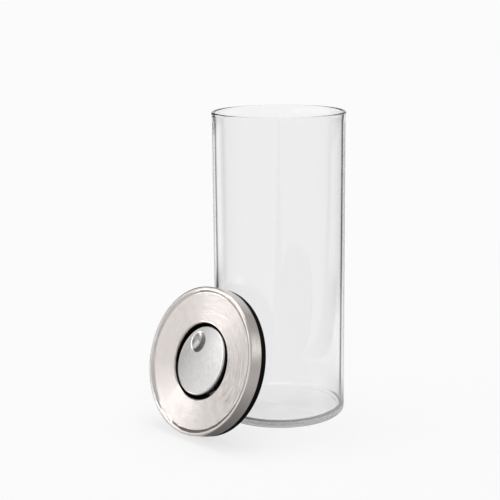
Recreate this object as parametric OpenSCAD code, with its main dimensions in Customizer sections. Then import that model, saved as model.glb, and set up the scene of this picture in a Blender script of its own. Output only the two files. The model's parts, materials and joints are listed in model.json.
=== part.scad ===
// Glass storage canister with a rocker-operated sealing lid.
// The jar stands upright at the origin.  Its lid is off: it stands on edge
// beside the jar and leans back against the wall.  Pressing the finger
// dimple tips the rocker, which lowers a pressure plate and frees the
// silicone ring; pressing the rocker level squeezes the ring outwards.
// All lengths in millimetres, all angles in degrees.

/* [Jar] */
// Outside diameter of the glass
jar_d = 100; // [90:1:120]
// Height of the glass
jar_h = 232.5; // [140:0.5:320]
// Thickness of the glass wall
wall = 2.2; // [1.6:0.1:3]
// Thickness of the glass base
base_t = 4; // [3:0.5:8]
// Rounding where the outside wall meets the base
foot_round = 3.5; // [2:0.5:6]
// Rounding where the inside wall meets the base
well_round = 5; // [3:0.5:9]
// How far the fire-polished rim swells beyond the wall
rim_swell = 0.5; // [0.2:0.1:1]

/* [Lid cover] */
// How far the steel cover stands out beyond the jar's wall
cover_over = 4.8; // [4:0.1:8]
// Depth of the steel skirt
skirt_h = 10.4; // [9:0.1:11.4]
// Thickness of the steel sheet
sheet = 0.8; // [0.6:0.1:1]
// Width of the raised bead round the cover's edge
bead_w = 4.3; // [3.5:0.1:6]
// How far the face panel lies below the bead
bead_drop = 2; // [1:0.1:2.4]
// Rounding of the cover's outer edge
bead_round = 1.2; // [1:0.1:2.2]
// Width of the slope between the bead and the panel
bead_slope = 1.8; // [1:0.1:2.5]
// Rounding of the lip round the cover's hole
lip_round = 1.2; // [1.1:0.1:1.6]
// Depth of the lip round the cover's hole
lip_h = 2.6; // [2:0.1:3.2]
// Inward crimp that holds the cover on the housing
crimp = 0.5; // [0.3:0.1:0.8]

/* [Housing] */
// Depth of the face that rests on the glass rim
seat_z = 12.4; // [12:0.1:15]
// Depth of the edge of the collar that goes round the glass rim
collar_z = 15.8; // [14.4:0.1:17]
// How far the collar's outside lies inside the cover's edge
collar_inset = 0.4; // [0:0.1:1]
// Gap between the collar and the glass rim
collar_gap = 0.4; // [0.3:0.1:0.8]
// Wall thickness of the moulded housing
mould_t = 2; // [1.5:0.1:2.5]
// Depth of the well's floor
well_z = 10.7; // [10.4:0.1:11.4]
// Radius of the edges of the plastic that can be seen
mould_round = 0.8; // [0.4:0.1:1.2]
// Height of the shoulder above the seal
shoulder_h = 2.6; // [2:0.1:3]
// Radial gap between the plug and the glass
plug_gap = 1; // [0.6:0.1:1.5]
// Number of ribs under the steel panel
panel_ribs = 12; // [6:1:16]
// Number of ribs on the housing's underside
floor_ribs = 6; // [4:1:8]
// Thickness of the ribs
rib_t = 1.4; // [1:0.1:2]

/* [Seal] */
// Height of the silicone ring when it is free
seal_h = 5; // [4.5:0.1:7]
// How far the seal's body lies inside the plug's edge
seal_inset = 0.2; // [0:0.1:0.6]
// Radial thickness of the silicone ring's body
seal_t = 5.6; // [4:0.1:7]
// How far the upper lip stands out of the ring's body
lip_out = 1.2; // [0.8:0.1:1.6]
// How much further the lower lip stands out
lip_step = 1; // [0.2:0.1:1.4]
// Radius of the lips' edges
lip_edge = 0.7; // [0.5:0.1:0.9]
// Thickness of the pressure plate
plate_t = 1.6; // [1.4:0.1:2.4]
// How far the plate's edge lies inside the ring's body
plate_inset = 1.8; // [0.8:0.1:2.5]

/* [Rocker] */
// Radius of the rocker's steel disc
rocker_r = 25.8; // [25:0.1:28]
// Gap between the disc and the cover's hole
rocker_gap = 2.4; // [2:0.1:3]
// Depth of the disc's turned-down edge
rocker_edge = 3; // [2.4:0.1:3.4]
// Tilt of the rocker when the seal is free
tilt = 7.2; // [5:0.1:8]
// How far the disc stands proud of the cover's face panel when level
rocker_rise = 1; // [0:0.1:1.5]
// Distance of the pivot from the lid's centre
pivot_off = 11; // [9:0.5:12]
// Depth of the pivot below the disc's face
pivot_drop = 5.7; // [5.5:0.1:6]
// Distance of the finger dimple from the lid's centre
dimple_off = 15.2; // [12:0.1:16]
// Radius of the finger dimple
dimple_r = 7.6; // [6:0.1:8]
// Depth of the finger dimple
dimple_h = 2.2; // [1.4:0.1:2.4]
// Turn of the dimple round the lid, from the lid's right side
dimple_turn = 124.4; // [0:0.1:360]
// Radius of the pivot pin
pivot_r = 1.5; // [1.2:0.1:1.7]
// Radius of the pin that draws the stem
draw_r = 1.2; // [1:0.1:1.4]

/* [Lever] */
// Thickness of the moulded lever
lever_t = 1.6; // [1.2:0.1:2]
// Depth of the ribs under the lever
lever_rib_h = 1.8; // [1:0.1:2.4]
// Distance from the lid's middle to each of the lever's ears
ear_in = 7; // [6.5:0.5:8]
// Thickness of each ear
ear_t = 2.9; // [2:0.1:3.2]
// Plastic round the pivot pin in the ears
ear_wall = 1.3; // [1:0.1:1.6]
// Half the opening of the fork that holds the draw pin
fork_in = 2.6; // [2.2:0.1:3]
// Thickness of each side of the fork
fork_t = 2.2; // [1.6:0.1:2.6]
// Plastic round the draw pin in the fork
fork_wall = 1.1; // [0.8:0.1:1.4]
// Thickness of each seat of the pivot pin
seat_t = 4; // [3:0.5:5]
// Plastic beside the pivot pin in its seats
seat_wall = 1.8; // [1.4:0.1:2.2]
// How far the seats end below the lever
seat_drop = 0.9; // [0.7:0.1:1.2]
// Width of the blocks that stop the rocker
stop_w = 4; // [3:0.5:5]
// How far the stop under the dimple lies beyond the dimple's middle
open_stop = 2; // [0:0.5:3]
// How far the other stop lies beyond the pivot
shut_stop = 6; // [5:0.5:7]

/* [Detent] */
// How far the heel stands in from the lever's edge
heel_inset = 1.6; // [1.2:0.1:2.4]
// Thickness of the heel
heel_t = 2.6; // [2:0.1:3]
// Half the width of the heel
heel_half = 4; // [3:0.5:5]
// Radius of the heel's two notches
notch_r = 0.8; // [0.6:0.1:0.9]
// Height of the shut notch above the pivot
notch_rise = 0.1; // [0:0.1:0.4]
// Plastic below the lower notch
heel_lip = 0.3; // [0.2:0.1:0.6]
// Thickness of the detent leaf
leaf_t = 0.4; // [0.3:0.05:0.5]
// How far the leaf is narrower than the heel on each side
leaf_inset = 0.6; // [0.3:0.1:1]
// Radius of the leaf's nose
nose_r = 1.2; // [1:0.1:1.4]
// How far the leaf's leg stands behind its nose
leaf_back = 0.3; // [0.2:0.1:0.5]
// Length of the leaf's foot
leaf_foot = 8.5; // [7.5:0.5:10]
// Radius of the bend at the leaf's foot
leaf_bend = 1; // [0.8:0.1:1.2]
// Radius of the peg that holds the leaf's foot
peg_r = 1.2; // [1:0.1:1.4]

/* [Stem and spring] */
// Radius of the stem
stem_r = 3; // [2.5:0.1:3.5]
// Radius of the stem's spigot in the pressure plate
spigot_r = 2; // [1.8:0.1:2.4]
// Metal round the draw pin in the stem's eye
eye_wall = 1; // [0.8:0.1:1.2]
// Plastic round the stem in the housing's guide
boss_wall = 2.6; // [2:0.1:3]
// Thickness of the O-ring
o_ring_t = 1; // [0.8:0.1:1.2]
// Depth of the O-ring's groove
groove_h = 1.1; // [0.9:0.1:1.2]
// Radius of the stem screw's shank
screw_r = 1.25; // [1:0.05:1.5]
// Radius of the stem screw's head
head_r = 2.9; // [2.4:0.1:3.4]
// Height of the stem screw's head
head_h = 1.4; // [1:0.1:1.6]
// How far the stem screw bites into the stem
screw_bite = 2.4; // [2:0.1:2.8]
// Radius of the washer
washer_r = 5; // [4:0.1:5.6]
// Thickness of the washer
washer_t = 0.5; // [0.4:0.1:0.8]
// Gap between the washer and the recess round it
recess_gap = 0.8; // [0.5:0.1:1.2]
// Thickness of the pressure plate's hub
hub_t = 2.2; // [1.8:0.1:2.6]
// How far the hub stands out beyond the washer
hub_wall = 2.6; // [2:0.1:3]
// Thickness of the pressure plate's guide ring
guide_t = 1.5; // [1.2:0.1:2]
// Height of the pressure plate's guide ring
guide_h = 2.8; // [2:0.1:3.2]
// Radius of the return spring, to the wire's middle
coil_r = 9.6; // [9.2:0.1:11]
// Radius of the spring's wire
wire_r = 0.5; // [0.4:0.05:0.6]
// Turns of the spring
coil_turns = 3; // [2:1:4]

/* [Resting place] */
// How far the lid leans back from upright
lean = 17.4; // [10:0.1:30]
// Way the lid faces, turned from the front to the left
face_turn = 46.2; // [0:0.1:90]
// Way from the jar to the lid, turned from the front to the left
place_turn = 45.4; // [0:0.1:90]

/* [Fits] */
// Gap between pieces that sit in one another
fit = 0.05; // [0.02:0.01:0.1]
// Radial clearance of a running shaft
run = 0.08; // [0.03:0.01:0.1]
// Gap between moving pieces that stay clear
clear = 0.3; // [0.25:0.05:0.5]

/* [Hidden] */

lathe_fn = 128;
round_fn = 48;
steel = [0.78, 0.77, 0.75];
black = [0.05, 0.05, 0.055];

jar_r = jar_d / 2;
mouth_r = jar_r - wall;
rim_r = (wall + rim_swell) / 2;

// The lid's own frame has its face up: z = 0 is the top of the bead.
cover_r = jar_r + cover_over;
panel_r = cover_r - bead_w;
hole_r = rocker_r + rocker_gap;
panel_in = -bead_drop - sheet;
lip_end = -bead_drop - lip_h;
lip_bend = lip_round - sheet;

ring_r = cover_r - sheet - fit;
band_r = ring_r - crimp;
collar_in = jar_r + rim_swell + collar_gap;
collar_r = cover_r - collar_inset;
well_r = hole_r + sheet + fit;
well_out = well_r + mould_t;
rib_top = panel_in - fit;
floor_in = -well_z;
floor_out = floor_in - mould_t;
plug_r = mouth_r - plug_gap;
seal_top = -seat_z - shoulder_h;
seal_r = plug_r - seal_inset;
neck_r = seal_r - seal_t;
neck_in = neck_r - mould_t + 2 * fit;
seal_end = seal_top - seal_h;
lip_r = seal_r + lip_out + lip_step;
lip_z = seal_end + lip_edge + fit;
plate_r = seal_r - plate_inset;
plate_end = seal_end - plate_t;

// Rocker and stem: the pins stand level with each other at half travel.
rocker_top = rocker_rise - bead_drop;
pivot_z = rocker_top - pivot_drop;
stroke = pivot_off * sin(tilt);
draw_up = pivot_z + stroke / 2;
draw_down = pivot_z - stroke / 2;
lever_top = rocker_top - sheet - fit;
lever_z = lever_top - lever_t;
lever_r = rocker_r - sheet - fit;
lever_edge = rocker_top - rocker_edge - lever_t / 2;
lever_rib_z = lever_z - lever_rib_h;
dimple_ball = (dimple_r * dimple_r + dimple_h * dimple_h) / (2 * dimple_h);

ear_r = pivot_r + ear_wall;
fork_r = draw_r + fork_wall;
draw_half = fork_in + fork_t + fit;
seat_in = ear_in + ear_t + clear;
seat_half_w = pivot_r + seat_wall;
seat_top = lever_z - clear - seat_drop;
pin_half = seat_in + seat_t - fit;
throat = 1.7 * pivot_r;

eye_half = fork_in - clear;
eye_r = draw_r + eye_wall;
neck_end = seal_end + stroke + clear;
boss_r = stem_r + boss_wall;
hub_r = washer_r + hub_wall;
hub_under = plate_end + head_h + washer_t + clear;
hub_top = hub_under + hub_t;
boss_end = hub_top + stroke + clear;
o_ring_z = (floor_in + boss_end - stroke) / 2;
groove_r = stem_r - groove_h;
screw_len = hub_t + screw_bite;
recess_r = washer_r + recess_gap;
guide_top = seal_end + guide_h;
guide_r = neck_in - clear;

heel_x = lever_r - heel_inset;
notch_step = (heel_x - pivot_off) * sin(tilt);
notch_z = pivot_z + notch_rise;
heel_end = notch_z - notch_step - notch_r - heel_lip;
leaf_half = heel_half - leaf_inset;
nose_x = heel_x + clear + leaf_t / 2 + nose_r;
leaf_x = nose_x + leaf_back;
peg_x = leaf_x - leaf_foot + 2 * peg_r;

stop_y = ear_in + ear_t / 2;
open_stop_x = dimple_off + open_stop;
shut_stop_x = -pivot_off - shut_stop;

// Where the lid stands: its edge on the floor, its back just off the wall.
lean_gap = clear;
back_reach = max(lip_r * sin(lean) - lip_z * cos(lean),
                 (plate_r - mould_round) * sin(lean) - plate_end * cos(lean));
lid_reach = jar_r + lean_gap + back_reach;
skirt_foot = cover_r * cos(lean) + skirt_h * sin(lean);
collar_foot = (collar_r - mould_round) * cos(lean) + (collar_z - mould_round) * sin(lean) + mould_round;
lid_height = max(skirt_foot, collar_foot);

// ---- helpers ----

// Points on an arc from angle a to angle b
function arc(c, r, a, b, n = 8) =
    [for (i = [0 : n]) let (t = a + (b - a) * i / n) [c[0] + r * cos(t), c[1] + r * sin(t)]];

// Points on a soft S-shaped step
function step_curve(p, q, n = 8) =
    [for (i = [0 : n]) let (t = i / n, s = (1 - cos(180 * t)) / 2)
        [p[0] + (q[0] - p[0]) * t, p[1] + (q[1] - p[1]) * s]];

// A strip of sheet of thickness t along a path
function side(p, t) =
    [for (i = [0 : len(p) - 1])
        let (a = p[max(i - 1, 0)], b = p[min(i + 1, len(p) - 1)], d = (b - a) / norm(b - a))
        p[i] + t * [-d[1], d[0]]];
function strip(p, t) =
    let (a = side(p, t / 2), b = side(p, -t / 2))
    concat(a, [for (i = [len(b) - 1 : -1 : 0]) b[i]]);

// A body turned round the z axis from a closed outline
module turned(outline) {
    rotate_extrude($fn = lathe_fn) polygon(outline);
}

// A plate-like outline in the x-z plane, of width 2 * half along y
module across(half) {
    translate([0, half, 0]) rotate([90, 0, 0]) linear_extrude(2 * half) children();
}

// A round bar along y
module bar(r, half, x, z) {
    translate([x, -half, z]) rotate([-90, 0, 0]) cylinder(r = r, h = 2 * half, $fn = round_fn);
}

// A block given by its corners
module block(lo, hi) {
    translate(lo) cube(hi - lo);
}

// Puts a piece of the lid where the lid leans
module lid_place() {
    translate([-lid_reach * sin(place_turn), -lid_reach * cos(place_turn), lid_height])
        rotate([90 - lean, 0, -face_turn]) children();
}

// Frame of the mechanism: x runs from the lid's centre to the dimple
module mechanism() {
    lid_place() rotate([0, 0, dimple_turn]) children();
}

// The rocker tipped about its pivot
module rocker_place() {
    mechanism()
        translate([-pivot_off, 0, pivot_z]) rotate([0, tilt, 0])
            translate([pivot_off, 0, -pivot_z]) children();
}

// ---- the jar ----

module glass_jar() {
    color([0.85, 0.92, 0.9, 0.35])
        turned(concat(
            [[0, 0]],
            arc([jar_r - foot_round, foot_round], foot_round, -90, 0),
            step_curve([jar_r, jar_h - 4 * rim_r], [jar_r + rim_swell, jar_h - rim_r]),
            arc([jar_r + rim_swell - rim_r, jar_h - rim_r], rim_r, 10, 180),
            arc([mouth_r - well_round, base_t + well_round], well_round, 0, -90),
            [[0, base_t]]));
}

// ---- the lid ----

// Spun steel cap: skirt, bead, sunk panel and a lip round the hole
module lid_cover() {
    color(steel) lid_place()
        turned(concat(
            [[cover_r, -skirt_h]],
            arc([cover_r - bead_round, -bead_round], bead_round, 0, 90),
            step_curve([panel_r + bead_slope, 0], [panel_r, -bead_drop]),
            arc([hole_r + lip_round, -bead_drop - lip_round], lip_round, 90, 180),
            [[hole_r, lip_end], [hole_r + sheet, lip_end]],
            arc([hole_r + lip_round, -bead_drop - lip_round], lip_bend, 180, 90),
            step_curve([panel_r, panel_in], [panel_r + bead_slope, -sheet]),
            arc([cover_r - bead_round, -bead_round], bead_round - sheet, 90, 0),
            [[cover_r - sheet, -skirt_h + 2 * crimp], [cover_r - sheet - crimp, -skirt_h + crimp],
             [cover_r - sheet - crimp, -skirt_h]]));
}

// Outline of the moulded dish that carries the mechanism and the seal
function housing_outline() = concat(
    [[stem_r + run, floor_in], [well_r, floor_in], [well_r, rib_top - lip_bend],
     [well_r + lip_bend, rib_top], [well_out, rib_top],
     [well_out, mould_t - seat_z], [ring_r - mould_t, mould_t - seat_z],
     [ring_r - mould_t, rib_top], [ring_r, rib_top],
     [ring_r, -skirt_h + 2 * crimp + fit], [band_r, -skirt_h + crimp + fit],
     [band_r, -skirt_h - fit], [collar_r, -skirt_h - fit]],
    arc([collar_r - mould_round, mould_round - collar_z], mould_round, 0, -90, 4),
    [[collar_in, -collar_z], [collar_in, -seat_z], [plug_r, -seat_z]],
    arc([plug_r - mould_round, seal_top + mould_round], mould_round, 0, -90, 4),
    [[neck_r, seal_top], [neck_r, neck_end], [neck_in, neck_end], [neck_in, floor_out],
     [boss_r, floor_out], [boss_r, boss_end], [stem_r + run, boss_end]]);

// Ribs that carry the steel panel, and ribs that stiffen the floor below
module housing_ribs() {
    for (i = [0 : panel_ribs - 1]) rotate([0, 0, 360 * (i + 0.5) / panel_ribs])
        block([well_out - fit, -rib_t / 2, mould_t / 2 - seat_z],
              [ring_r - mould_t + fit, rib_t / 2, rib_top]);
    for (i = [0 : floor_ribs - 1]) rotate([0, 0, 360 * (i + 0.5) / floor_ribs])
        block([coil_r + wire_r + 2 * clear, -rib_t / 2, floor_out - 2 * mould_t],
              [guide_r - guide_t - clear, rib_t / 2, floor_out + fit]);
}

// Snap-in seats for the pivot pin, open at the top
module pivot_seats() {
    for (s = [-1, 1]) difference() {
        block([-pivot_off - seat_half_w, s > 0 ? seat_in : -seat_in - seat_t, floor_in - fit],
              [-pivot_off + seat_half_w, s > 0 ? seat_in + seat_t : -seat_in, seat_top]);
        bar(pivot_r + fit, seat_in + seat_t + clear, -pivot_off, pivot_z);
        block([-pivot_off - throat / 2, -seat_in - seat_t - clear, pivot_z],
              [-pivot_off + throat / 2, seat_in + seat_t + clear, seat_top + clear]);
    }
}

// Height of the lever's ribs above the floor at x, with the rocker tipped
function tipped_z(x) = pivot_z + (lever_rib_z - pivot_z) * cos(tilt) - (x + pivot_off) * sin(tilt);

// Blocks that end the rocker's travel, and the peg of the detent spring
module rocker_stops() {
    for (s = [-1, 1]) translate([0, s * stop_y, 0]) {
        block([open_stop_x - stop_w / 2, -stop_w / 2, floor_in - fit],
              [open_stop_x + stop_w / 2, stop_w / 2, tipped_z(open_stop_x + stop_w / 2) - clear]);
        block([shut_stop_x - stop_w / 2, -stop_w / 2, floor_in - fit],
              [shut_stop_x + stop_w / 2, stop_w / 2, lever_rib_z - clear]);
    }
    translate([-peg_x, 0, floor_in - fit]) cylinder(r = peg_r, h = 2 * leaf_t + fit, $fn = round_fn);
}

module lid_housing() {
    color(black) {
        lid_place() {
            turned(housing_outline());
            housing_ribs();
        }
        mechanism() {
            pivot_seats();
            rocker_stops();
        }
    }
}

module pivot_pin() {
    color(steel) mechanism() bar(pivot_r, pin_half, -pivot_off, pivot_z);
}

// Path of the detent leaf: a foot on the floor, a leg and a nose
function leaf_path() = concat(
    [[-leaf_x + leaf_foot, floor_in + leaf_t / 2 + fit]],
    arc([-leaf_x + leaf_bend, floor_in + leaf_bend + leaf_t / 2 + fit], leaf_bend, -90, -180, 6),
    [[-leaf_x, notch_z - 1.4 * nose_r]],
    arc([-nose_x, notch_z], nose_r, -50, 50, 8),
    [[-leaf_x, notch_z + 1.2 * nose_r]]);

module detent_spring() {
    color(steel) mechanism() difference() {
        across(leaf_half) polygon(strip(leaf_path(), leaf_t));
        translate([-peg_x, 0, floor_in - fit]) cylinder(r = peg_r + fit, h = 3 * leaf_t, $fn = round_fn);
    }
}

// Silicone ring with two lips
module seal_ring() {
    lip_one = seal_r + lip_out - lip_edge;
    lip_two = lip_r - lip_edge;
    top_z = seal_top - lip_edge - fit;
    mid_z = (top_z + lip_z) / 2;
    color(black) lid_place()
        turned(concat(
            [[neck_r + fit, seal_end + fit], [neck_r + fit, seal_top - fit]],
            arc([lip_one, top_z], lip_edge, 90, -60, 6),
            [[seal_r, mid_z + lip_edge / 3], [seal_r, mid_z - lip_edge / 3]],
            arc([lip_two, lip_z], lip_edge, 60, -90, 6)));
}

// Wire's height along the return spring: both end turns lie flat
function coil_z(t) = let (u = min(max((t - 0.75) / (coil_turns - 1.5), 0), 1)) (1 - cos(180 * u)) / 2;

module return_spring() {
    steps = 20;
    sides = 8;
    count = steps * coil_turns;
    low = seal_end + wire_r + fit;
    high = floor_out - wire_r - fit;
    dead = 2 * wire_r + fit;
    rise = high - low - 2 * dead;
    centre = [for (i = [0 : count]) let (t = i / steps)
        low + dead * (min(t, 0.75) + max(t - coil_turns + 0.75, 0)) / 0.75 + rise * coil_z(t)];
    points = [for (i = [0 : count], k = [0 : sides - 1])
        let (a = 360 * i / steps, b = 360 * k / sides, r = coil_r + wire_r * cos(b))
        [r * cos(a), r * sin(a), centre[i] + wire_r * sin(b)]];
    walls = [for (i = [0 : count - 1], k = [0 : sides - 1])
        let (a = i * sides + k, b = i * sides + (k + 1) % sides)
        [a, b, b + sides, a + sides]];
    ends = [[for (k = [sides - 1 : -1 : 0]) k], [for (k = [0 : sides - 1]) count * sides + k]];
    color(steel) lid_place() polyhedron(points, concat(walls, ends));
}

// ---- the rocker ----

// Steel disc with a turned-down edge and a pressed finger dimple
module rocker_disc() {
    top = rocker_top;
    ball_z = top + dimple_ball - dimple_h;
    color(steel) rocker_place() difference() {
        union() {
            turned(concat(
                [[0, top]],
                arc([rocker_r - lip_round, top - lip_round], lip_round, 90, 0),
                [[rocker_r, top - rocker_edge], [rocker_r - sheet, top - rocker_edge]],
                arc([rocker_r - lip_round, top - lip_round], lip_bend, 0, 90),
                [[0, top - sheet]]));
            intersection() {
                translate([dimple_off, 0, ball_z]) sphere(r = dimple_ball + sheet, $fn = lathe_fn);
                translate([dimple_off, 0, top - dimple_h - 2 * sheet])
                    cylinder(r = dimple_r + 2 * sheet, h = dimple_h + 2 * sheet, $fn = lathe_fn);
            }
        }
        translate([dimple_off, 0, ball_z]) sphere(r = dimple_ball, $fn = lathe_fn);
    }
}

// An ear that hangs under the lever, round at its eye
module ear(x, z, r, from, t) {
    for (s = [-1, 1]) translate([0, s * (from + t / 2), 0]) {
        block([x - r, -t / 2, z], [x + r, t / 2, lever_z + fit]);
        bar(r, t / 2, x, z);
    }
}

// Moulded lever under the disc: ears, fork, ribs and a notched heel
module rocker_lever() {
    color(black) rocker_place() difference() {
        union() {
            turned([[0, lever_z], [lever_r - mould_t, lever_z], [lever_r - mould_t, lever_edge],
                    [lever_r, lever_edge], [lever_r, lever_top - lip_round], [lever_r - lip_round, lever_top],
                    [0, lever_top]]);
            ear(-pivot_off, pivot_z, ear_r, ear_in, ear_t);
            ear(0, draw_up, fork_r, fork_in, fork_t);
            for (s = [-1, 1]) translate([0, s * stop_y, 0])
                block([shut_stop_x - stop_w / 2, -ear_t / 2, lever_rib_z],
                      [open_stop_x + stop_w / 2, ear_t / 2, lever_z + fit]);
            block([-heel_x, -heel_half, heel_end], [-heel_x + heel_t, heel_half, lever_z + fit]);
        }
        bar(pivot_r + run, ear_in + ear_t + clear, -pivot_off, pivot_z);
        bar(draw_r + fit, fork_in + fork_t + clear, 0, draw_up);
        for (z = [notch_z, notch_z - notch_step]) bar(notch_r, heel_half + clear, -heel_x - notch_r / 2, z);
        translate([dimple_off, 0, rocker_top + dimple_ball - dimple_h])
            sphere(r = dimple_ball + sheet + fit, $fn = lathe_fn);
    }
}

module draw_pin() {
    color(steel) rocker_place() bar(draw_r, draw_half, 0, draw_up);
}

// ---- the plunger ----

// Stem: a flat eye over the draw pin, a groove for the O-ring, a spigot below
module draw_stem() {
    shank_top = floor_in + clear;
    color(steel) mechanism() difference() {
        union() {
            bar(eye_r, eye_half, 0, draw_down);
            block([-eye_r, -eye_half, shank_top - fit], [eye_r, eye_half, draw_down]);
            turned([[0, shank_top], [stem_r, shank_top], [stem_r, o_ring_z + o_ring_t / 2 + fit],
                    [groove_r, o_ring_z + o_ring_t / 2 + fit], [groove_r, o_ring_z - o_ring_t / 2 - fit],
                    [stem_r, o_ring_z - o_ring_t / 2 - fit], [stem_r, hub_top],
                    [spigot_r, hub_top], [spigot_r, hub_under + fit], [0, hub_under + fit]]);
        }
        bar(draw_r + run, eye_half + clear, 0, draw_down);
        translate([0, 0, hub_under]) cylinder(r = screw_r, h = screw_len, $fn = round_fn);
    }
}

module stem_o_ring() {
    color(black) mechanism() translate([0, 0, o_ring_z])
        rotate_extrude($fn = lathe_fn) translate([stem_r + run / 2 - o_ring_t / 2, 0])
            circle(r = o_ring_t / 2, $fn = round_fn);
}

// Moulded plate that squeezes the ring, with a hub, a guide ring and ribs
module pressure_plate() {
    color(black) mechanism() {
        turned(concat(
            [[spigot_r + fit, hub_under], [spigot_r + fit, hub_top], [hub_r, hub_top],
             [hub_r, seal_end], [guide_r - guide_t, seal_end],
             [guide_r - guide_t, guide_top], [guide_r, guide_top],
             [guide_r, seal_end], [plate_r, seal_end]],
            arc([plate_r - mould_round, plate_end + mould_round], mould_round, 0, -90, 4),
            [[recess_r, plate_end], [recess_r, hub_under]]));
        for (i = [0 : floor_ribs - 1]) rotate([0, 0, 360 * i / floor_ribs - dimple_turn])
            block([coil_r + wire_r + 2 * clear, -rib_t / 2, seal_end - fit],
                  [guide_r - guide_t + fit, rib_t / 2, seal_end + mould_t]);
    }
}

module stem_washer() {
    color(steel) mechanism() difference() {
        translate([0, 0, hub_under - washer_t]) cylinder(r = washer_r, h = washer_t, $fn = round_fn);
        translate([0, 0, hub_under - 2 * washer_t])
            cylinder(r = screw_r + fit, h = 3 * washer_t, $fn = round_fn);
    }
}

// Pan-head screw with a cross recess
module stem_screw() {
    under = hub_under - washer_t;
    color(steel) mechanism() difference() {
        union() {
            turned(concat(
                [[0, under], [head_r, under]],
                arc([head_r - mould_round, under - head_h + mould_round], mould_round, 0, -90, 4),
                [[0, under - head_h]]));
            translate([0, 0, under]) cylinder(r = screw_r - fit / 2, h = screw_len, $fn = round_fn);
        }
        for (a = [0, 90]) rotate([0, 0, a])
            block([-head_r / 2, -head_r / 10, under - head_h - fit],
                  [head_r / 2, head_r / 10, under - head_h / 2]);
    }
}

glass_jar();
lid_cover();
lid_housing();
pivot_pin();
detent_spring();
seal_ring();
return_spring();
rocker_disc();
rocker_lever();
draw_pin();
draw_stem();
stem_o_ring();
pressure_plate();
stem_washer();
stem_screw();
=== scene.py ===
import json
from math import atan2, cos, degrees, pi, radians, tan

import bmesh
import bpy
from mathutils import Matrix, Vector


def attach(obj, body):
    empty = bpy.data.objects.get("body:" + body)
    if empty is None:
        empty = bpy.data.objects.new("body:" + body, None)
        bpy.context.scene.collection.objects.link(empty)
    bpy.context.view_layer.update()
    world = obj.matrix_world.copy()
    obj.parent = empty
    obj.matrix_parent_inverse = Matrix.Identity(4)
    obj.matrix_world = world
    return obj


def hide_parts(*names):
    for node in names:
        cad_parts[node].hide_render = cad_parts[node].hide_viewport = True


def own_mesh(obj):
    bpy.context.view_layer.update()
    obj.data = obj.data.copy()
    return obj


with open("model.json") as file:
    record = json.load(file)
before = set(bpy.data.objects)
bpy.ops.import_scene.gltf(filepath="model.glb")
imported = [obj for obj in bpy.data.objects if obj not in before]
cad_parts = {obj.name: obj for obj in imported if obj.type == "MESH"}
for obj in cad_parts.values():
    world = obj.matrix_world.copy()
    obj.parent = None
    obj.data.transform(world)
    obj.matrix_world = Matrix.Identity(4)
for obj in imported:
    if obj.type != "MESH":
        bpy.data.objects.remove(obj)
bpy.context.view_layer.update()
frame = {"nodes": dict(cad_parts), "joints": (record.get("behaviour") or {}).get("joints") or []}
MM = 0.001

# ---- The jar -----------------------------------------------------------------------
# A tube of clear borosilicate glass with a flat bottom pressed on, rounded where
# it meets the wall.  The mouth is fire-polished, which swells its edge a little.
# It stands by itself; everything else leans on it.

GLASS_R, GLASS_H, GLASS_WALL, GLASS_BASE = 50.0, 232.5, 2.2, 4.0
FOOT_ROUND, WELL_ROUND = 3.5, 5
RIM_SWELL, SWELL_START, SWELL_FULL, SWELL_ROUND = 0.5, 6.5, 2.6, 2
RIM_ROUND = (GLASS_WALL + RIM_SWELL) / 2


class Reading:
    """A number or vector that a finish reads at each point. Arithmetic on it adds Math nodes."""

    def __init__(self, tree, socket):
        self.tree, self.socket = tree, socket

    def of(self, name):
        """Another output of the same node."""
        return Reading(self.tree, self.socket.node.outputs[name])

    def math(self, operation, *others):
        return add_node(self.tree, "ShaderNodeMath", {"operation": operation},
                        dict(enumerate((self, *others))))

    def __add__(self, other):
        return self.math("ADD", other)

    def __mul__(self, other):
        return self.math("MULTIPLY", other)

    def __sub__(self, other):
        return self.math("SUBTRACT", other)

    def __rsub__(self, other):
        return add_node(self.tree, "ShaderNodeMath", {"operation": "SUBTRACT"}, {0: other, 1: self})

    def __truediv__(self, other):
        return self.math("DIVIDE", other)

    def __pow__(self, other):
        return self.math("POWER", other)

    __radd__, __rmul__ = __add__, __mul__

    def clamp(self):
        return add_node(self.tree, "ShaderNodeClamp", {}, {0: self})

    def step(self, low, high):
        """0 below low, 1 above high and a soft rise between them."""
        return add_node(self.tree, "ShaderNodeMapRange", {"interpolation_type": "SMOOTHSTEP"},
                        {0: self, "From Min": low, "From Max": high})

    def band(self, start, full, fade, end):
        """1 from full to fade, and 0 before start and after end."""
        return self.step(start, full) * (1 - self.step(fade, end))

    def vec(self, operation, *others):
        """Vector arithmetic, such as a cross product with another vector."""
        return add_node(self.tree, "ShaderNodeVectorMath", {"operation": operation},
                        dict(enumerate((self, *others))))

    def scaled(self, number):
        """The vector times a number."""
        return add_node(self.tree, "ShaderNodeVectorMath", {"operation": "SCALE"}, {0: self, "Scale": number})

    def along(self, way):
        """How far a place lies along a unit vector."""
        return self.vec("DOT_PRODUCT", way).of("Value")

    def parts(self):
        """The three numbers of a vector."""
        first = add_node(self.tree, "ShaderNodeSeparateXYZ", {}, {0: self})
        return first, first.of("Y"), first.of("Z")


def add_node(tree, kind, settings, sockets):
    """A node of that kind, with its settings made before its sockets are filled. A colour gets its alpha."""
    node = tree.nodes.new(kind)
    for name, value in settings.items():
        setattr(node, name, value)
    for name, value in sockets.items():
        socket = node.inputs[name]
        if isinstance(value, Reading):
            tree.links.new(value.socket, socket)
        elif hasattr(socket.default_value, "__len__") and len(socket.default_value) == 4:
            socket.default_value = (*value, 1)
        else:
            socket.default_value = value
    return Reading(tree, node.outputs[0]) if node.outputs else node


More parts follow.
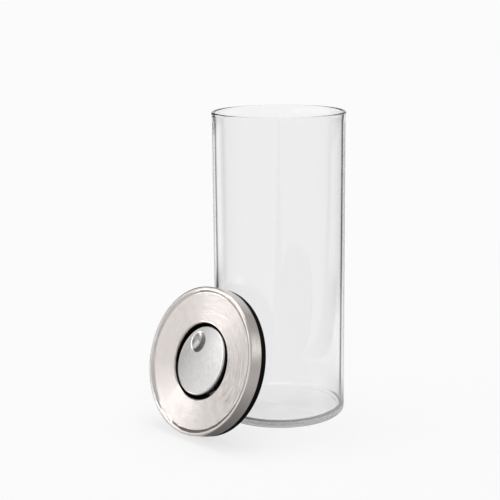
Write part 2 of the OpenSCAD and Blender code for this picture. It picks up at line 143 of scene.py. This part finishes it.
class Finish:
    """A material under construction."""

    def __init__(self, name):
        self.material = bpy.data.materials.new(name)
        self.material.use_nodes = True
        self.tree = self.material.node_tree
        self.tree.nodes.clear()

    def add(self, kind, settings=None, sockets=None):
        return add_node(self.tree, kind, settings or {}, sockets or {})

    def place(self):
        return self.add("ShaderNodeTexCoord").of("Object")

    def vector(self, x, y, z):
        return self.add("ShaderNodeCombineXYZ", {}, {"X": x, "Y": y, "Z": z})

    def noise(self, vector, scale=1.0, detail=2.0, rough=0.5):
        return self.add("ShaderNodeTexNoise", {}, {
            "Vector": vector, "Scale": scale, "Detail": detail, "Roughness": rough})

    def colour(self, factor, one, other):
        """A colour that goes from one to other as the factor rises."""
        mix = self.add("ShaderNodeMix", {"data_type": "RGBA"}, {0: factor, 6: one, 7: other})
        return Reading(self.tree, mix.socket.node.outputs[2])

    def bump(self, height, distance, strength):
        return self.add("ShaderNodeBump", {}, {"Height": height, "Distance": distance, "Strength": strength})

    def surface(self, shader):
        self.add("ShaderNodeOutputMaterial", {}, {"Surface": shader})
        return self.material

    def solid(self, sockets):
        """The finished material of something that light doesn't pass."""
        return self.surface(self.add("ShaderNodeBsdfPrincipled", {}, sockets))


def full_turn(bm, geom, steps):
    """Spins the geometry once round the z axis and closes the joint."""
    bmesh.ops.spin(bm, geom=geom, cent=(0, 0, 0), axis=(0, 0, 1), angle=2 * pi, steps=steps, use_merge=True)


def round_corner(bm, corner, offset, segments):
    """Rounds one corner of an outline, from offset before it to offset after it."""
    bmesh.ops.bevel(bm, geom=[corner], offset=offset, offset_type="OFFSET", segments=segments, profile=0.5,
                    affect="VERTICES", material=-1)


def turned(outline, steps, place=Matrix(), arc=6):
    """Spins an outline of (radius, height, rounding) round the z axis and puts it in place.
    A quarter round has arc segments."""
    bm = bmesh.new()
    corners = [bm.verts.new((r * MM, 0, z * MM)) for r, z, rounding in outline]
    bm.faces.new(corners)
    for i, (r, z, rounding) in enumerate(outline):
        if rounding:
            before, after = outline[i - 1], outline[(i + 1) % len(outline)]
            bend = atan2(after[1] - z, after[0] - r) - atan2(z - before[1], r - before[0])
            bend = abs((bend + pi) % (2 * pi) - pi)
            segments = max(2, round(arc * degrees(bend) / 90))
            round_corner(bm, corners[i], rounding * MM * tan(bend / 2), segments)
    bmesh.ops.delete(bm, geom=bm.faces[:], context="FACES_ONLY")
    on_axis = [e for e in bm.edges if all(abs(v.co.x) < 1e-9 for v in e.verts)]
    bmesh.ops.delete(bm, geom=on_axis, context="EDGES")
    full_turn(bm, bm.verts[:] + bm.edges[:], steps)
    bmesh.ops.remove_doubles(bm, verts=bm.verts[:], dist=1e-7)
    bmesh.ops.recalc_face_normals(bm, faces=bm.faces[:])
    bmesh.ops.transform(bm, matrix=place, verts=bm.verts[:])
    return bm


SHARP = radians(32)


def made(name, bm, body, material, node):
    """The finished piece that stands for a node, on the body that carries it.
    It is smooth, with its real corners sharp."""
    for face in bm.faces:
        face.smooth = True
    for edge in bm.edges:
        edge.smooth = len(edge.link_faces) == 2 and edge.calc_face_angle(0) < SHARP
    mesh = bpy.data.meshes.new(name)
    bm.to_mesh(mesh)
    bm.free()
    mesh.materials.append(material)
    piece = bpy.data.objects.new(name, mesh)
    bpy.context.scene.collection.objects.link(piece)
    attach(piece, body)
    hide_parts(node)
    return piece


# The glass is clear with a trace of blue, and the drawn tube has faint streaks along
# it.  A dark line is painted into its colour where the outer wall turns away from the
# eye, as painted shade at its edges.  Lamps pass through it, as they do through thin glass.
glass = Finish("clear_glass")
x, y, z = glass.place().parts()
streaks = glass.noise(glass.vector(x * 60, y * 60, z * 1.5))
ripples = glass.noise(glass.place(), scale=45.0, detail=1.0)
near_base = 1 - z.step(0.004, 0.02)
waver = glass.bump(streaks * 0.5 + ripples * near_base, distance=0.00005, strength=0.5)
facing = glass.add("ShaderNodeLayerWeight", {}, {"Blend": 0.5}).of("Facing")
outer_wall = ((x * x + y * y) ** 0.5).step((GLASS_R - 0.8) * MM, (GLASS_R - 0.3) * MM)
# Painted shade: the colour goes to near black in a band where the outer wall turns away from the eye.
painted_dark_edge = facing.band(0.63, 0.69, 0.72, 0.755) * outer_wall * z.step(0.002, 0.03)
clear = glass.add("ShaderNodeBsdfPrincipled", {}, {
    "Base Color": glass.colour(painted_dark_edge, (0.972, 0.971, 0.978), (0.02, 0.02, 0.024)),
    "Roughness": 0.0, "Specular IOR Level": 0.25, "IOR": 1.47, "Transmission Weight": 1.0, "Normal": waver})
passing = glass.add("ShaderNodeBsdfTransparent", {}, {"Color": (0.97, 0.972, 0.972)})
ray = glass.add("ShaderNodeLightPath")
lamp = ray.of("Is Shadow Ray").math("MAXIMUM", ray.of("Is Diffuse Ray"))
clear_glass = glass.surface(glass.add("ShaderNodeMixShader", {}, {0: lamp, 1: clear, 2: passing}))

jar_outline = [
    (0, 0, 0), (GLASS_R, 0, FOOT_ROUND),
    (GLASS_R, GLASS_H - SWELL_START, SWELL_ROUND), (GLASS_R + RIM_SWELL, GLASS_H - SWELL_FULL, SWELL_ROUND),
    (GLASS_R + RIM_SWELL, GLASS_H, RIM_ROUND), (GLASS_R - GLASS_WALL, GLASS_H, RIM_ROUND),
    (GLASS_R - GLASS_WALL, GLASS_BASE, WELL_ROUND), (0, GLASS_BASE, 0)]
made("jar", turned(jar_outline, 192, arc=8), "jar", clear_glass, "glass_jar")

# ---- The lid's moulded body --------------------------------------------------------
# Black nylon, injection moulded in one piece: a dish with a well for the rocker,
# seats for its pin, a rounded band that shows under the steel, and a neck for the
# ring.  Its surface is finely spark-eroded, with a polish where fingers rub it.

NEAR_BLACK, WORN_BLACK = (0.0015, 0.0015, 0.0017), (0.004, 0.004, 0.0045)


def dress(node, material):
    """Gives its finish to a node that keeps its own shape."""
    frame["nodes"][node].material_slots[0].material = material


plastic = Finish("black_plastic")
grain = plastic.noise(plastic.place(), scale=2600.0, detail=3.0, rough=0.6)
patch = plastic.noise(plastic.place(), scale=70.0, detail=3.0)
black_plastic = plastic.solid({
    "Base Color": plastic.colour(patch, NEAR_BLACK, WORN_BLACK), "Roughness": 0.42 + 0.14 * patch,
    "IOR": 1.5, "Specular IOR Level": 0.04, "Normal": plastic.bump(grain, distance=0.00002, strength=0.7)})
dress("lid_housing", black_plastic)

# The lid leans on the jar: its own axes come from the way that its plunger slides
# and its rocker turns.  Heights in the lid are counted from the top of the bead.
PIVOT_OFF, PIVOT_Z = 11.0, -6.7
joints = {joint["name"]: joint for joint in frame["joints"]}
outward = Vector(joints["plunger_slide"]["axis"]).normalized()
pin_way = -Vector(joints["rocker_tilt"]["axis"]).normalized()
to_dimple = pin_way.cross(outward)
lid_axes = Matrix((to_dimple, pin_way, outward)).transposed()
middle = Vector(joints["rocker_tilt"]["pos_m"]) - lid_axes @ Vector((-PIVOT_OFF * MM, 0, PIVOT_Z * MM))
lid_place = Matrix.Translation(middle) @ lid_axes.to_4x4()

# ---- The silicone ring -------------------------------------------------------------
# One moulded ring of black food-grade silicone, stretched over the housing's neck.
# Two rounded lips run round it; the plate squeezes them out against the glass.

RING_IN, RING_R, RING_TOP, RING_END, RING_ROUND = 41.05, 46.6, -15.05, -19.95, 0.2
UPPER_LIP_R, UPPER_LIP_T, LOWER_LIP_R, LOWER_LIP_Z = 47.8, 1.4, 48.8, -18.6
GROOVE_TOP, GROOVE_END, GROOVE_ROUND = -17.3, -17.7, 0.3
LIP_EDGE, LIP_ROOT = 0.7, 0.6

rubber = Finish("black_silicone")
bloom = rubber.noise(rubber.place(), scale=160.0, detail=4.0, rough=0.6)
skin = rubber.noise(rubber.place(), scale=3800.0)
silicone = rubber.solid({
    "Base Color": rubber.colour(bloom, NEAR_BLACK, WORN_BLACK), "Roughness": 0.5 + 0.2 * bloom,
    "IOR": 1.41, "Specular IOR Level": 0.05, "Normal": rubber.bump(skin, distance=0.00001, strength=0.5)})

ring_outline = [
    (RING_IN, RING_END, RING_ROUND), (RING_IN, RING_TOP, RING_ROUND),
    (UPPER_LIP_R, RING_TOP, LIP_EDGE), (UPPER_LIP_R, RING_TOP - UPPER_LIP_T, LIP_ROOT),
    (RING_R, GROOVE_TOP, GROOVE_ROUND), (RING_R, GROOVE_END, GROOVE_ROUND),
    (LOWER_LIP_R, LOWER_LIP_Z, LIP_ROOT), (LOWER_LIP_R, RING_END, LIP_EDGE)]
lips = made("seal_lips", turned(ring_outline, 160, lid_place), "lid", silicone, "seal_ring")
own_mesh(lips)

# ---- The lid's steel cap -----------------------------------------------------------
# Spun from 0.8 mm stainless sheet: a deep skirt, a raised bead round the edge, a
# sunk panel and a lip turned down round the hole.  It is brushed while it turns,
# so fine lines run round it, on the panel and round the skirt.

CAP_R, SKIRT, SHEET, CUT_ROUND = 54.8, 10.4, 0.8, 0.15
BEAD_W, BEAD_ROUND, BEAD_FALL, BEAD_FOOT = 1.8, 1.2, 1.6, 1.3
INNER_FALL, INNER_FOOT = 0.6, 0.9  # the bead's roundings on the sheet's inner side
PANEL_R, PANEL_Z = 50.5, -2.0
HOLE_R, HOLE_ROUND, LIP_Z = 28.2, 1.2, -4.6
HEM_T, HEM_H = 0.5, 1


def brushed(name, light, dark, spread, rough, scale, crown=0.0, painted_dimple_shade=None):
    """Stainless steel brushed in circles about the lid's axis. Each scratch tips the surface across
    its own way, by up to half of spread, and a crown tips it more with the distance from the axis.
    The last argument is a round patch whose colour is painted darker over the dimple, as painted
    shade in its hollow: how far off it lies, its radius, and how much of the colour it takes away."""
    steel = Finish(name)
    out = steel.place().vec("SUBTRACT", middle)
    x, y = out.along(to_dimple), out.along(pin_way)
    far = (x * x + y * y) ** 0.5
    track = far - out.along(outward)
    way_x, way_y = x / far, y / far
    fine = steel.noise(steel.vector(way_x * 4, way_y * 4, track * scale), rough=0.7)
    coarse = steel.noise(steel.vector(way_x * 1.5, way_y * 1.5, track * scale * 0.2), detail=3.0, rough=0.65)
    cloud = steel.noise(steel.place(), scale=28.0)
    tone = (0.6 * coarse + 0.35 * fine + 0.3 * cloud - 0.12).clamp()
    face = steel.add("ShaderNodeNewGeometry").of("Normal")
    across = face.vec("CROSS_PRODUCT", out.vec("CROSS_PRODUCT", outward).vec("NORMALIZE"))
    tipped_face = face.vec("ADD", across.scaled((fine - 0.5) * spread + far * crown)).vec("NORMALIZE")
    bare = steel.colour(tone, dark, light)
    # Painted shade: the steel's colour is painted darker over the dimple's round hollow.
    if painted_dimple_shade:
        off, radius, share = painted_dimple_shade
        aside = x - off * MM
        from_patch = (aside * aside + y * y) ** 0.5
        patch = 1 - from_patch.step((radius - 0.8) * MM, (radius + 0.2) * MM)
        bare = steel.colour(patch * share, bare, (0.0, 0.0, 0.0))
    return steel.solid({"Base Color": bare, "Metallic": 1.0, "Normal": tipped_face,
                        "Roughness": (rough + 0.08 * coarse + 0.04 * cloud).clamp()})


brushed_steel = brushed("brushed_steel", light=(0.88, 0.82, 0.79), dark=(0.76, 0.708, 0.682),
                        spread=1.4, rough=0.18, scale=10000.0)
inside = CAP_R - SHEET
cap_outline = [
    (CAP_R, -SKIRT, CUT_ROUND), (CAP_R, 0, BEAD_ROUND), (PANEL_R + BEAD_W, 0, BEAD_FALL),
    (PANEL_R, PANEL_Z, BEAD_FOOT), (HOLE_R, PANEL_Z, HOLE_ROUND), (HOLE_R, LIP_Z, CUT_ROUND),
    (HOLE_R + SHEET, LIP_Z, CUT_ROUND), (HOLE_R + SHEET, PANEL_Z - SHEET, HOLE_ROUND - SHEET),
    (PANEL_R, PANEL_Z - SHEET, INNER_FOOT), (PANEL_R + BEAD_W, -SHEET, INNER_FALL),
    (inside, -SHEET, BEAD_ROUND - SHEET), (inside, -SKIRT + HEM_H, 0),
    (inside - HEM_T, -SKIRT + HEM_H / 2, 0), (inside - HEM_T, -SKIRT, CUT_ROUND)]
cap = turned(cap_outline, 256, lid_place, arc=8)
made("lid_cap", cap, "lid", brushed_steel, "lid_cover")

# ---- The rocker's steel disc -------------------------------------------------------
# Pressed from the same sheet, with its edge turned down and a round dimple for the
# fingertip.  It is satin polished, which leaves much shallower circles than the
# cap's, and the dimple's colour is painted darker, as painted shade in its hollow.
# It tips about the pivot.

DISC_R, DISC_Z, DISC_EDGE, EDGE_ROUND = 25.8, -1.0, 3.0, 1.2
DIMPLE_OFF, DIMPLE_R, DIMPLE_H, DIMPLE_ROUND, BEND = 15.2, 7.6, 2.2, 0.5, 0.35
FLAT = 0.4  # a narrow flat strip beside each rounding keeps the rest of the disc truly flat
BOWL_SHARE = 0.96  # of the bowl's slope, before its rim bends out to the flat
BOWL_STEPS, DISC_STEPS = 14, 128

satin_steel = brushed("satin_steel", light=(0.90, 0.874, 0.862), dark=(0.81, 0.79, 0.785),
                      spread=0.3, rough=0.2, scale=7000.0, crown=1.6, painted_dimple_shade=(DIMPLE_OFF, DIMPLE_R, 0.52))
to_pivot = Matrix.Translation((-PIVOT_OFF * MM, 0, PIVOT_Z * MM))
tilt = radians(joints["rocker_tilt"]["range_deg"][1])
tipped = lid_place @ to_pivot @ Matrix.Rotation(tilt, 4, "Y") @ to_pivot.inverted()

# The dimple is a shallow bowl, spun from an arc about its own middle.
disc = bmesh.new()
ball = (DIMPLE_R ** 2 + DIMPLE_H ** 2) / (2 * DIMPLE_H)
slope = atan2(DIMPLE_R, ball - DIMPLE_H)
lowest = disc.verts.new((0, 0, -DIMPLE_H * MM))
bmesh.ops.spin(disc, geom=[lowest], cent=(0, 0, (ball - DIMPLE_H) * MM), axis=(0, -1, 0),
               angle=slope * BOWL_SHARE, steps=BOWL_STEPS)
bowl_rim = max(disc.verts, key=lambda v: v.co.x)
edge = disc.verts.new(((DIMPLE_R + DIMPLE_ROUND) * MM, 0, 0))
strip = disc.verts.new(((DIMPLE_R + DIMPLE_ROUND + FLAT) * MM, 0, 0))
disc.edges.new((bowl_rim, edge))
disc.edges.new((edge, strip))
round_corner(disc, bowl_rim, BEND * MM, 4)
full_turn(disc, disc.verts[:] + disc.edges[:], DISC_STEPS)
bmesh.ops.remove_doubles(disc, verts=disc.verts[:], dist=1e-7)
bmesh.ops.translate(disc, vec=(DIMPLE_OFF * MM, 0, 0), verts=disc.verts[:])
dimple_edge = [e for e in disc.edges if len(e.link_faces) == 1]
dimple_parts = set(disc.verts)

# The turned-down edge is spun about the disc's middle, and the flat joins the two.
side = [disc.verts.new((r * MM, 0, z * MM)) for r, z in
        ((DISC_R - EDGE_ROUND - FLAT, 0), (DISC_R - EDGE_ROUND, 0), (DISC_R, 0), (DISC_R, -DISC_EDGE))]
for pair in zip(side, side[1:]):
    disc.edges.new(pair)
round_corner(disc, side[2], EDGE_ROUND * 0.98 * MM, 8)  # just short of the strip
side_parts = [v for v in disc.verts if v not in dimple_parts]
side_edges = [e for e in disc.edges if all(v not in dimple_parts for v in e.verts)]
full_turn(disc, side_parts + side_edges, DISC_STEPS)
top_edge = [e for e in disc.edges if len(e.link_faces) == 1 and all(
    abs(v.co.z) < 1e-7 and v.co.length < (DISC_R - EDGE_ROUND - FLAT / 2) * MM and v not in dimple_parts
    for v in e.verts)]
bmesh.ops.bridge_loops(disc, edges=dimple_edge + top_edge)
bmesh.ops.recalc_face_normals(disc, faces=disc.faces[:])
if sum(f.normal.z * f.calc_area() for f in disc.faces) < 0:
    bmesh.ops.reverse_faces(disc, faces=disc.faces[:])
bmesh.ops.solidify(disc, geom=disc.faces[:], thickness=SHEET * MM)
bmesh.ops.recalc_face_normals(disc, faces=disc.faces[:])
bmesh.ops.translate(disc, vec=(0, 0, DISC_Z * MM), verts=disc.verts[:])
bmesh.ops.transform(disc, matrix=tipped, verts=disc.verts[:])
made("rocker_top", disc, "rocker", satin_steel, "rocker_disc")

# ---- The lever under the disc ------------------------------------------------------
# Glass-filled nylon, moulded with ears for the two pins, ribs and a notched heel.
# The disc is pressed over its edge.  Short fibres show as a faint grey fleck.


def moulded(name, dark, light, fleck):
    """Moulded plastic with a fine eroded surface and a fleck of glass fibre."""
    nylon = Finish(name)
    place = nylon.place()
    fibre = nylon.noise(place, scale=3200.0, detail=4.0, rough=0.7).step(0.62, 0.74)
    flow = nylon.noise(place, scale=90.0, detail=3.0)
    skin = nylon.noise(place, scale=2400.0, detail=3.0, rough=0.6)
    return nylon.solid({
        "Base Color": nylon.colour((flow * 0.7 + fibre * fleck).clamp(), dark, light),
        "Roughness": 0.46 + 0.16 * flow, "IOR": 1.53,
        "Normal": nylon.bump(skin, distance=0.00002, strength=0.7)})


filled_nylon = moulded("filled_nylon", dark=(0.014, 0.014, 0.015), light=(0.05, 0.05, 0.052), fleck=0.8)
dress("rocker_lever", filled_nylon)

# ---- The pins ----------------------------------------------------------------------
# Two lengths of ground stainless rod: the rocker tips on the longer one, and the
# shorter one draws the stem.  Grinding leaves very fine rings round them.


def ground_steel(name, light, dark, axis, rings, rough):
    """Steel with fine rings about the axis, which is a unit vector in the room."""
    steel = Finish(name)
    ring = steel.noise(steel.vector(steel.place().along(axis) * rings, 0.0, 0.0), detail=4.0, rough=0.7)
    stain = steel.noise(steel.place(), scale=220.0, detail=3.0)
    return steel.solid({
        "Base Color": steel.colour((ring * 0.6 + stain * 0.4).clamp(), dark, light), "Metallic": 1.0,
        "Roughness": rough + 0.14 * stain, "Normal": steel.bump(ring, distance=0.000004, strength=0.8)})


pin_steel = ground_steel("ground_steel", light=(0.80, 0.79, 0.77), dark=(0.62, 0.61, 0.60),
                         axis=pin_way, rings=9000.0, rough=0.16)
for pin in ("pivot_pin", "draw_pin"):
    dress(pin, pin_steel)

# ---- The detent leaf ---------------------------------------------------------------
# A bent strip of spring steel, pegged to the well's floor, whose nose clicks into the
# heel's notches.  The strip is rolled, so its grain runs along it, and tempered to a
# colour between straw and blue.

strip_steel = Finish("tempered_strip")
over_strip = strip_steel.place().along(pin_way) * 12000
rolled = strip_steel.noise(strip_steel.vector(over_strip, 0.0, 0.0), detail=3.0, rough=0.7)
temper = strip_steel.noise(strip_steel.place(), scale=260.0)
heat = (rolled * 0.5 + temper * 0.5).clamp()
tempered_strip = strip_steel.solid({
    "Base Color": strip_steel.colour(heat, (0.42, 0.44, 0.50), (0.66, 0.60, 0.50)), "Metallic": 1.0,
    "Roughness": 0.24 + 0.14 * rolled, "Normal": strip_steel.bump(rolled, distance=0.000004, strength=0.8)})
dress("detent_spring", tempered_strip)

# ---- The return spring -------------------------------------------------------------
# Three turns of 1 mm stainless wire, wound cold, with closed ends.  It sits round the
# stem between the housing and the plate.  It shortens as the plate is drawn up, but here
# it is one fixed shape carried with the lid.

COIL_R, WIRE_R, TURNS, STEPS = 9.6, 0.5, 3, 32
COIL_LOW, COIL_HIGH = -19.45, -13.25
FLAT_TURNS, END_RISE = 0.75, 1.05  # how much of each end lies nearly flat, and how far it climbs


def coil_height(t):
    """The wire's height after t turns: both end turns lie flat."""
    u = min(max((t - FLAT_TURNS) / (TURNS - 2 * FLAT_TURNS), 0), 1)
    ends = (min(t, FLAT_TURNS) + max(t - TURNS + FLAT_TURNS, 0)) / FLAT_TURNS
    return COIL_LOW + END_RISE * ends + (COIL_HIGH - COIL_LOW - 2 * END_RISE) * (1 - cos(pi * u)) / 2


# The wire's end face is carried round step by step; the first and the last stay as its ends.
wire = bmesh.new()
bmesh.ops.create_circle(wire, cap_ends=True, segments=16, radius=WIRE_R * MM)
bmesh.ops.rotate(wire, cent=(0, 0, 0), matrix=Matrix.Rotation(pi / 2, 3, "X"), verts=wire.verts[:])
bmesh.ops.translate(wire, vec=(COIL_R * MM, 0, COIL_LOW * MM), verts=wire.verts[:])
front = wire.faces[:]
for i in range(TURNS * STEPS):
    rise = (coil_height((i + 1) / STEPS) - coil_height(i / STEPS)) * MM
    carried = bmesh.ops.extrude_face_region(wire, geom=front)["geom"]
    if i > 0:
        bmesh.ops.delete(wire, geom=front, context="FACES_ONLY")
    moved = [v for v in carried if isinstance(v, bmesh.types.BMVert)]
    bmesh.ops.rotate(wire, cent=(0, 0, 0), matrix=Matrix.Rotation(2 * pi / STEPS, 3, "Z"), verts=moved)
    bmesh.ops.translate(wire, vec=(0, 0, rise), verts=moved)
    front = [f for f in carried if isinstance(f, bmesh.types.BMFace)]
bmesh.ops.recalc_face_normals(wire, faces=wire.faces[:])
bmesh.ops.transform(wire, matrix=lid_place, verts=wire.verts[:])

drawn_wire = Finish("drawn_wire")
scale_mark = drawn_wire.noise(drawn_wire.place(), scale=900.0, detail=4.0, rough=0.7)
cloudy = drawn_wire.noise(drawn_wire.place(), scale=120.0)
drawn = (scale_mark * 0.6 + cloudy * 0.4).clamp()
spring_wire = drawn_wire.solid({
    "Base Color": drawn_wire.colour(drawn, (0.46, 0.46, 0.46), (0.68, 0.67, 0.66)), "Metallic": 1.0,
    "Roughness": 0.24 + 0.2 * cloudy, "Normal": drawn_wire.bump(scale_mark, distance=0.000006, strength=0.8)})
coil = made("return_coil", wire, "lid", spring_wire, "return_spring")
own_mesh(coil)

# ---- The stem and its seal ---------------------------------------------------------
# The stem is turned from stainless bar, with a flat milled eye over the draw pin.  A
# small black O-ring in its groove keeps the housing's guide tight.

STEM_R, O_RING_T, O_RING_Z = 3.04, 1.0, -13.79

turned_steel = ground_steel("turned_steel", light=(0.78, 0.77, 0.75), dark=(0.60, 0.60, 0.59),
                            axis=outward, rings=5000.0, rough=0.2)
dress("draw_stem", turned_steel)
loop = bmesh.new()
bmesh.ops.create_circle(loop, segments=24, radius=O_RING_T / 2 * MM)
bmesh.ops.rotate(loop, cent=(0, 0, 0), matrix=Matrix.Rotation(pi / 2, 3, "X"), verts=loop.verts[:])
bmesh.ops.translate(loop, vec=((STEM_R - O_RING_T / 2) * MM, 0, O_RING_Z * MM), verts=loop.verts[:])
full_turn(loop, loop.verts[:] + loop.edges[:], 96)
bmesh.ops.remove_doubles(loop, verts=loop.verts[:], dist=1e-7)
bmesh.ops.recalc_face_normals(loop, faces=loop.faces[:])
bmesh.ops.transform(loop, matrix=lid_place, verts=loop.verts[:])
made("stem_seal", loop, "plunger", silicone, "stem_o_ring")

# ---- The pressure plate ------------------------------------------------------------
# A moulded disc that the stem draws up, to squeeze the silicone ring.  It is the face
# that looks into the jar: a darker, more even plastic than the lever's, with hardly
# any fleck.

plate_plastic = moulded("plate_plastic", dark=(0.012, 0.012, 0.013), light=(0.028, 0.028, 0.030), fleck=0.2)
dress("pressure_plate", plate_plastic)

# ---- The washer and the screw ------------------------------------------------------
# A pressed washer and a cross-recessed pan-head screw, both stainless, hold the plate
# to the stem.  The head's top shows turning rings and a little handling dirt.

pressed_steel = ground_steel("pressed_steel", light=(0.74, 0.73, 0.71), dark=(0.58, 0.58, 0.57),
                             axis=to_dimple, rings=2600.0, rough=0.3)
screw_steel = ground_steel("screw_steel", light=(0.72, 0.71, 0.69), dark=(0.50, 0.50, 0.49),
                           axis=outward, rings=8000.0, rough=0.22)
dress("stem_washer", pressed_steel)
dress("stem_screw", screw_steel)

# ---- The camera --------------------------------------------------------------------
# It stands 0.93 m before the jar's axis and 9 cm above the mouth, and looks down
# 12 degrees with a long lens.

FOCAL_PIXELS, FRAME_PIXELS, SENSOR = 1246.66, 500, 36

camera = bpy.data.objects.new("camera", bpy.data.cameras.new("camera"))
bpy.context.scene.collection.objects.link(camera)
ahead = Vector((-0.02158123, 0.97778488, -0.20849693))
across = Vector((0.99975686, 0.02016290, -0.00892582))
camera.matrix_world = Matrix.Translation((-0.001741, -0.933067, 0.325265)) @ Matrix(
    (across, across.cross(ahead), -ahead)).transposed().to_4x4()
camera.data.sensor_width = SENSOR
camera.data.lens = FOCAL_PIXELS / FRAME_PIXELS * SENSOR
camera.data.clip_start, camera.data.clip_end = 0.05, 100
bpy.context.scene.camera = camera
bpy.context.scene.view_settings.view_transform = "Standard"

# ---- The table ---------------------------------------------------------------------
# A sweep of pale paper.  Looked at, it is plain and nearly white, with a faint shadow
# under the object.  In mirrors it glows with painted dark and bright patches, painted
# reflections of a studio's sides, which give the metal its tones.

LID_STANDS = 0.06  # to the left of the jar's axis, and as far before it
LOOKED_AT = 0.965
SWEEP_SIZE = 40

paper = Finish("pale_sweep")
ray = paper.add("ShaderNodeLightPath")
x, y, z = paper.place().parts()
mirrored = ray.of("Glossy Depth").clamp()
fibre = paper.noise(paper.place(), scale=900.0)
matt = paper.add("ShaderNodeBsdfDiffuse", {}, {
    "Color": paper.colour(fibre, (0.93, 0.93, 0.93), (0.945, 0.945, 0.945))})

# Left of the lid, by bearing and distance from where it stands, painted on the paper for
# mirrors only: a bright patch that glows like a card though it is no lamp, which clear glass
# doesn't take up, on a painted grey side, and the open pale back behind them.
beside, beyond = x + LID_STANDS, y + LID_STANDS
around = beside.math("ARCTAN2", beyond)
away = (beside * beside + beyond * beyond) ** 0.5
painted_patch_fall = 1 - 0.6 * away.step(0.38, 0.46) - 0.4 * away.step(1.1, 1.3)
painted_bright_patch = around.band(-1.61, -1.51, -1.3, -1.2) * away.step(0.14, 0.2) * painted_patch_fall
painted_bright_patch = painted_bright_patch * (1 - ray.of("Is Singular Ray"))
grey_side = 1 - around.step(-1.3, -1.15)
open_back = around.step(-1.1, -0.95) * away.band(0.4, 0.5, 1.6, 1.9)
open_back = open_back.math("MAXIMUM", around.step(-0.4, -0.25))
left = (0.5 + 3.9 * painted_bright_patch) * grey_side + 0.05 * (1 - open_back) + 0.97 * open_back

# Right of it, painted for mirrors: a painted shadow before the jar, where the lid's shade falls, and pale
# beside it but for a painted dark corner.
painted_dark_corner = (x - 0.55 * y).step(0.0, 0.1) * x.step(0.22, 0.3)
beside_jar = y.step(0.0, 0.08)
right = (0.12 + 0.28 * x.step(-0.05, 0.09)) * (1 - beside_jar) + (0.9 - 0.56 * painted_dark_corner) * beside_jar
right_side = x.step(-0.066, -0.052)
tone = left * (1 - right_side) + right * right_side

lit = paper.add("ShaderNodeEmission", {}, {
    "Color": paper.colour(mirrored, (LOOKED_AT,) * 3, paper.vector(tone, tone, tone))})
far_off = ((x * x + y * y) ** 0.5).step(0.15, 0.7)
plain = (1 - ray.of("Is Diffuse Ray")) * (0.74 + 0.26 * far_off)
plain = plain.math("MAXIMUM", 0.9 * mirrored)
sweep_paper = paper.surface(paper.add("ShaderNodeMixShader", {}, {0: plain, 1: matt, 2: lit}))

sweep = bmesh.new()
bmesh.ops.create_grid(sweep, x_segments=2, y_segments=2, size=SWEEP_SIZE)
floor_mesh = bpy.data.meshes.new("floor")
sweep.to_mesh(floor_mesh)
sweep.free()
floor_mesh.materials.append(sweep_paper)
floor = bpy.data.objects.new("floor", floor_mesh)
bpy.context.scene.collection.objects.link(floor)

# ---- The lamps and the room --------------------------------------------------------
# Two softboxes, one to the left of the lid and one overhead, in a pale room.  In a
# mirror the room has walls and a lit panel at the right; otherwise it is plain.


def softbox(name, place, aim, width, height, watts):
    """An area lamp of that size that points at aim."""
    lamp_data = bpy.data.lights.new(name, "AREA")
    lamp_data.shape, lamp_data.size, lamp_data.size_y = "RECTANGLE", width, height
    lamp_data.energy = watts
    lamp_object = bpy.data.objects.new(name, lamp_data)
    bpy.context.scene.collection.objects.link(lamp_object)
    lamp_object.location = place
    lamp_object.rotation_mode = "QUATERNION"
    lamp_object.rotation_quaternion = (Vector(aim) - Vector(place)).to_track_quat("-Z", "Y")


softbox("softbox_left", place=(-1.34, -0.16, 1.02), aim=(-LID_STANDS, -LID_STANDS, 0.06),
        width=0.9, height=1.2, watts=4.5)
softbox("softbox_top", place=(0.1, 0.3, 1.9), aim=(0, 0, 0.1), width=1.6, height=1.2, watts=14.0)

room = bpy.data.worlds.new("studio")
bpy.context.scene.world = room
room.use_nodes = True
room.node_tree.nodes.clear()
path = add_node(room.node_tree, "ShaderNodeLightPath", {}, {})
right, back, up = add_node(room.node_tree, "ShaderNodeTexCoord", {}, {}).parts()
bearing = right.math("ARCTAN2", back)
left_wall = bearing.band(-2.9, -2.4, -1.4, -1.1) * (0.9 - 0.68 * up.step(0.0, 0.6))
panel = bearing.band(1.10, 1.26, 1.75, 1.95) * up.band(-0.02, 0.10, 0.34, 0.5)
far_wall = bearing.band(-0.35, -0.15, 2.2, 2.9) * (0.30 + 0.46 * (1 - bearing.step(0.0, 0.9)))
front_wall = bearing.math("ABSOLUTE").step(2.2, 2.9)
in_mirror = path.of("Glossy Depth").clamp()
mirror_tone = 0.06 + left_wall + far_wall * (1 - panel) + 0.95 * panel + 0.5 * front_wall
lighting = path.of("Is Diffuse Ray")
strength = lighting * 0.6 + (1 - lighting) * (in_mirror * mirror_tone + (1 - in_mirror) * LOOKED_AT)
sky = add_node(room.node_tree, "ShaderNodeBackground", {}, {"Color": (1, 1, 1), "Strength": strength})
add_node(room.node_tree, "ShaderNodeOutputWorld", {}, {"Surface": sky})

bpy.context.view_layer.update()
